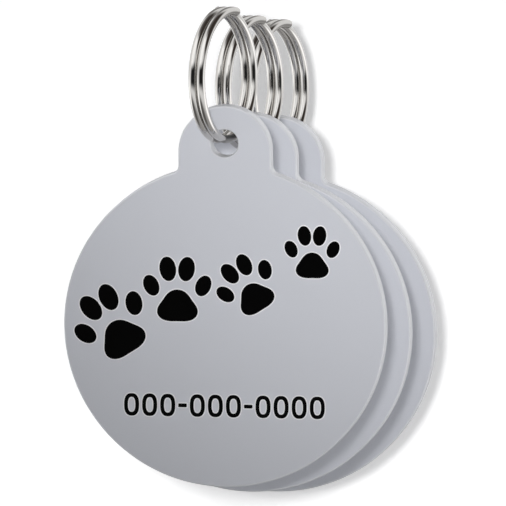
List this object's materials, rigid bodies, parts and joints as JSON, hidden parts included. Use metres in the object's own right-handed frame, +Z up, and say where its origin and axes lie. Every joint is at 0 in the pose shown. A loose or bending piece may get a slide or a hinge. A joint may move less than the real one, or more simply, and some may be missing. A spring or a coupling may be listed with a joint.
{
  "type": "pet id tags on split rings",
  "caption": "Round pet id tags of satin sheet metal, each with a holed tab and a two-turn split ring through the hole, hung one behind another.",
  "frame": {"origin": "hang point of the front tag: the top of the inside of the front split ring, where a hook or collar ring holds it", "axes": "+Z up, +Y from the viewer into the row of tags, +X to the right across the face of the plates"},
  "size_m": [0.032, 0.0504, 0.0534],
  "materials": {
    "tag_plate": "satin, fine grained",
    "ring_wire": "bright nickel plate on spring steel wire"
  },
  "bodies": {
    "front_ring": {"front_ring": "ring_wire"},
    "front_tag": {"front_tag": "tag_plate"},
    "middle_ring": {"middle_ring": "ring_wire"},
    "middle_tag": {"middle_tag": "tag_plate"},
    "rear_ring": {"rear_ring": "ring_wire"},
    "rear_tag": {"rear_tag": "tag_plate"}
  },
  "joints": [
    {"name": "front_tag_swing", "type": "hinge", "parent": "front_ring", "child": "front_tag", "pos_m": [0.00055, 0, -0.01258], "axis": [0, 1, 0], "range_deg": [-110, 110]},
    {"name": "middle_ring_swing", "type": "hinge", "parent": "front_ring", "child": "middle_ring", "pos_m": [0, 0.0186, -0.0031], "axis": [0, 1, 0], "range_deg": [-45, 45]},
    {"name": "middle_tag_swing", "type": "hinge", "parent": "middle_ring", "child": "middle_tag", "pos_m": [0.00055, 0.0186, -0.01568], "axis": [0, 1, 0], "range_deg": [-110, 110]},
    {"name": "rear_ring_swing", "type": "hinge", "parent": "front_ring", "child": "rear_ring", "pos_m": [0, 0.0372, -0.0057], "axis": [0, 1, 0], "range_deg": [-45, 45]},
    {"name": "rear_tag_swing", "type": "hinge", "parent": "rear_ring", "child": "rear_tag", "pos_m": [0.00055, 0.0372, -0.01828], "axis": [0, 1, 0], "range_deg": [-110, 110]}
  ]
}
